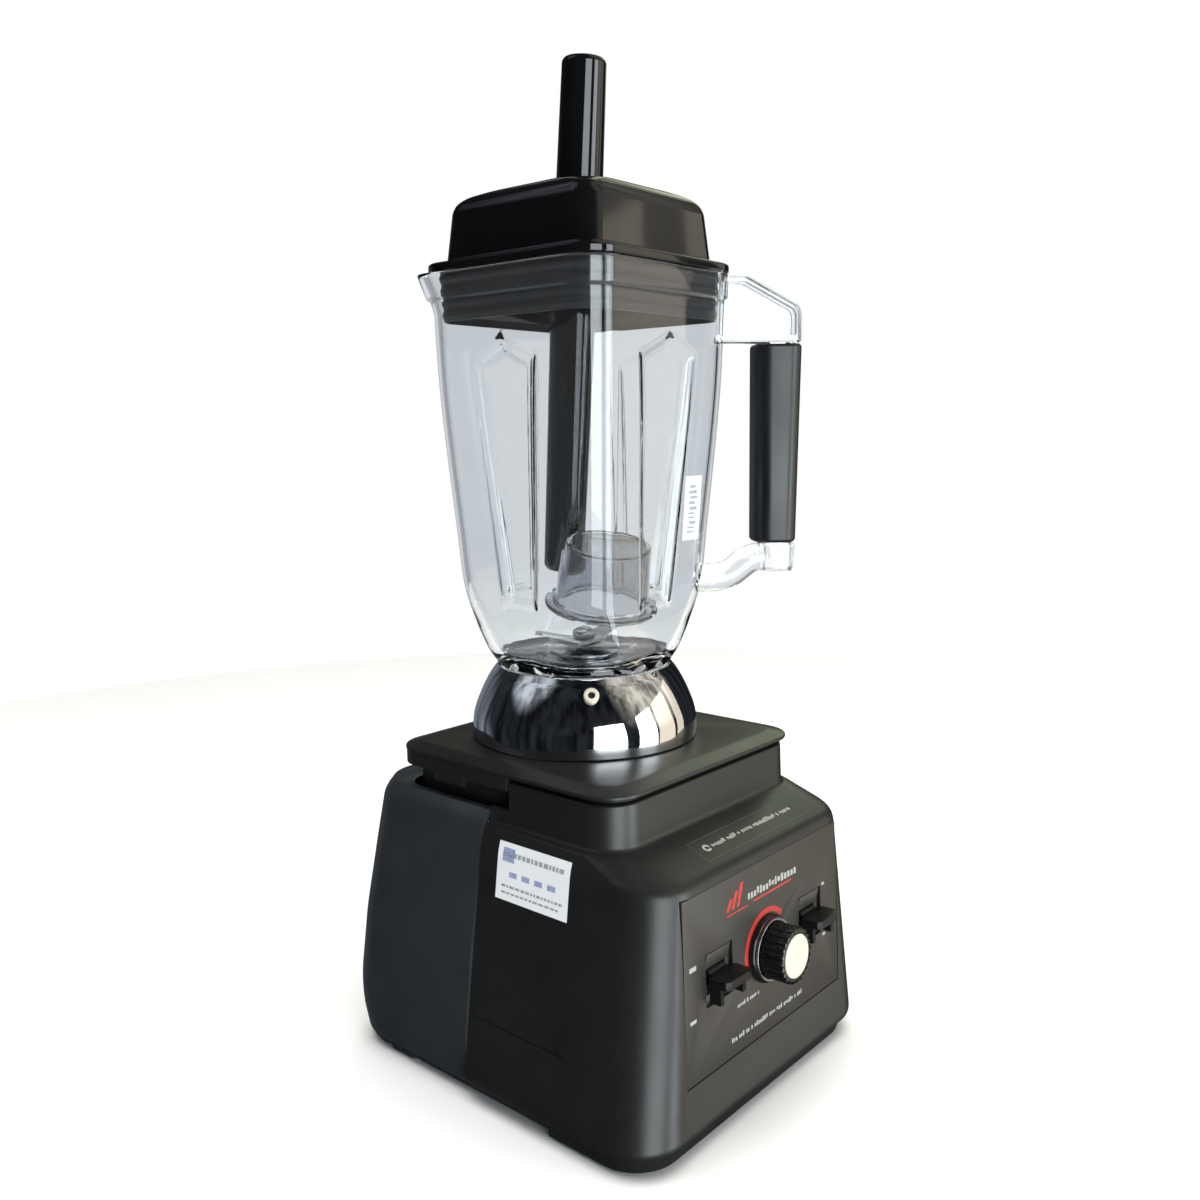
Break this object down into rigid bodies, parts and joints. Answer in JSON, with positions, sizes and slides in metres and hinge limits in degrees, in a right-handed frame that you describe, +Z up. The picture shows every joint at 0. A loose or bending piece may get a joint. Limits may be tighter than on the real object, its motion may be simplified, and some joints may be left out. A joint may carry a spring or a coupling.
{
  "type": "countertop blender",
  "caption": "Motor base with knob and paddle switches, square clear jug with handle and blades, lid, tamper and measuring cup.",
  "frame": {"origin": "on the drive axis, at the height of the surface that the feet stand on", "axes": "+Z up along the drive axis, -Y towards the control panel, +X to the right seen from the panel"},
  "size_m": [0.212, 0.2525, 0.5604],
  "materials": {
    "housing": "fine textured satin moulding",
    "panel": "flat satin overlay",
    "rubber": "matte black",
    "steel": "machined",
    "grey_plastic": "satin grey",
    "gloss_black": "polished black",
    "satin_black": "satin black",
    "chrome": "mirror plated",
    "ivory": "smooth off-white",
    "cast_aluminium": "as cast",
    "circuit_board": "solder-masked laminate",
    "laminations": "varnished steel laminations",
    "copper": "enamelled copper",
    "carbon": "sintered carbon",
    "clear_plastic": "clear polycarbonate",
    "smoke_plastic": "bluish clear polycarbonate",
    "seal": "soft moulded seal"
  },
  "bodies": {
    "base": {"base_plate": "housing", "front_housing": "housing", "rear_housing": "housing", "top_cap": "housing", "foot_front_left": "rubber", "foot_front_right": "rubber", "foot_rear_left": "rubber", "foot_rear_right": "rubber", "base_screw_1": "steel", "base_screw_2": "steel", "base_screw_3": "steel", "base_screw_4": "steel", "centering_pad": "rubber", "control_panel": "panel", "power_switch_body": "grey_plastic", "pulse_switch_body": "grey_plastic", "potentiometer": "cast_aluminium", "speed_control_board": "circuit_board", "heat_sink": "cast_aluminium", "cord_gland": "rubber", "overload_breaker": "satin_black", "stator_core": "laminations", "field_coil_right": "copper", "field_coil_left": "copper", "upper_motor_bracket": "cast_aluminium", "upper_motor_bearing": "steel", "lower_motor_bracket": "cast_aluminium", "lower_motor_bearing": "steel", "fan_shroud": "satin_black", "brush_holder_left": "cast_aluminium", "brush_holder_right": "cast_aluminium", "carbon_brush_left": "carbon", "carbon_brush_right": "carbon"},
    "rotor": {"motor_shaft": "steel", "armature_core": "laminations", "commutator": "copper", "cooling_fan": "satin_black", "drive_socket": "steel"},
    "knob": {"speed_knob": "satin_black", "knob_ring": "chrome", "knob_cap": "ivory"},
    "power_lever": {"power_paddle": "gloss_black"},
    "pulse_lever": {"pulse_paddle": "gloss_black"},
    "reset": {"reset_button": "satin_black"},
    "jug_unit": {"jug": "clear_plastic", "handle_grip": "satin_black", "jug_collar": "chrome", "collar_screw": "steel", "bearing_housing": "steel", "jug_bearing": "steel", "shaft_seal": "rubber", "retaining_nut": "cast_aluminium"},
    "blade_set": {"blade_shaft": "steel", "lower_blade": "steel", "upper_blade": "steel", "blade_nut": "steel"},
    "lid": {"lid_cap": "gloss_black", "lid_seal": "seal"},
    "tamper": {"tamper": "gloss_black"},
    "cup": {"measuring_cup": "smoke_plastic"}
  },
  "joints": [
    {"name": "rotor_spin", "type": "hinge", "parent": "base", "child": "rotor", "pos_m": [0, 0, 0.1], "axis": [0, 0, 1], "continuous": true},
    {"name": "knob_turn", "type": "hinge", "parent": "base", "child": "knob", "pos_m": [0, -0.12715, 0.084], "axis": [0, 0.9993, -0.0367], "range_deg": [0, 270]},
    {"name": "power_switch", "type": "hinge", "parent": "base", "child": "power_lever", "pos_m": [-0.044, -0.12166, 0.0862], "axis": [1, 0, 0], "range_deg": [-20, 0]},
    {"name": "pulse_switch", "type": "hinge", "parent": "base", "child": "pulse_lever", "pos_m": [0.044, -0.12166, 0.0862], "axis": [1, 0, 0], "range_deg": [0, 12], "stiffness_Nm_per_rad": 0.2, "springref_deg": -5.73},
    {"name": "reset_push", "type": "slide", "parent": "base", "child": "reset", "axis": [0, -1, 0], "range_m": [0, 0.002], "stiffness_N_per_m": 300, "springref_m": -0.001},
    {"name": "jug_lift", "type": "slide", "parent": "base", "child": "jug_unit", "axis": [0, 0, 1], "range_m": [0, 0.06]},
    {"name": "blade_spin", "type": "hinge", "parent": "jug_unit", "child": "blade_set", "pos_m": [0, 0, 0.22], "axis": [0, 0, 1], "continuous": true},
    {"name": "lid_lift", "type": "slide", "parent": "jug_unit", "child": "lid", "axis": [0, 0, 1], "range_m": [0, 0.06]},
    {"name": "tamper_slide", "type": "slide", "parent": "lid", "child": "tamper", "axis": [-0.0098, -0.0796, 0.9968], "range_m": [0, 0.12]},
    {"name": "cup_lift", "type": "slide", "parent": "jug_unit", "child": "cup", "axis": [0, 0, 1], "range_m": [0, 0.005]}
  ],
  "couplings": [
    {"joint": "blade_spin", "follows": "rotor_spin", "ratio": 1}
  ]
}
